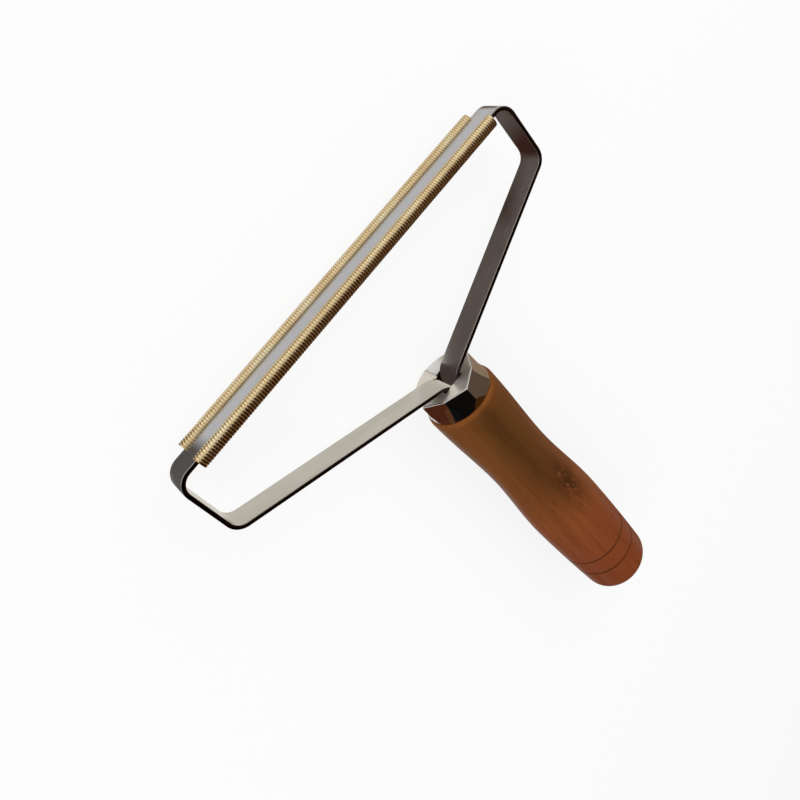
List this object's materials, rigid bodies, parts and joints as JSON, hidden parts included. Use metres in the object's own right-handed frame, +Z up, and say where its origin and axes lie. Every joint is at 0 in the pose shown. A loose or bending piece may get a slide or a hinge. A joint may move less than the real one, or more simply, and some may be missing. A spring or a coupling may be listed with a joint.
{
  "type": "lint scraper",
  "caption": "Hand tool for clothes care: a steel strip bent into a wide loop, with ringed brass tubes along its head that lift lint, on a turned wooden handle.",
  "frame": {"origin": "middle of the bounding box in X and Y, at its lowest point, which is the swell of the handle lying flat", "axes": "+X along the head, +Y from the butt of the handle towards the head, +Z up from the table, square to the plane of the loop"},
  "size_m": [0.1566, 0.1984, 0.0312],
  "materials": {
    "strip_steel": "polished",
    "tube_brass": "satin",
    "ferrule_plating": "polished",
    "handle_wood": "gloss"
  },
  "bodies": {
    "root": {"steel_strip": "strip_steel", "upper_brass_tube": "tube_brass", "lower_brass_tube": "tube_brass", "ferrule": "ferrule_plating", "handle": "handle_wood"}
  },
  "joints": []
}
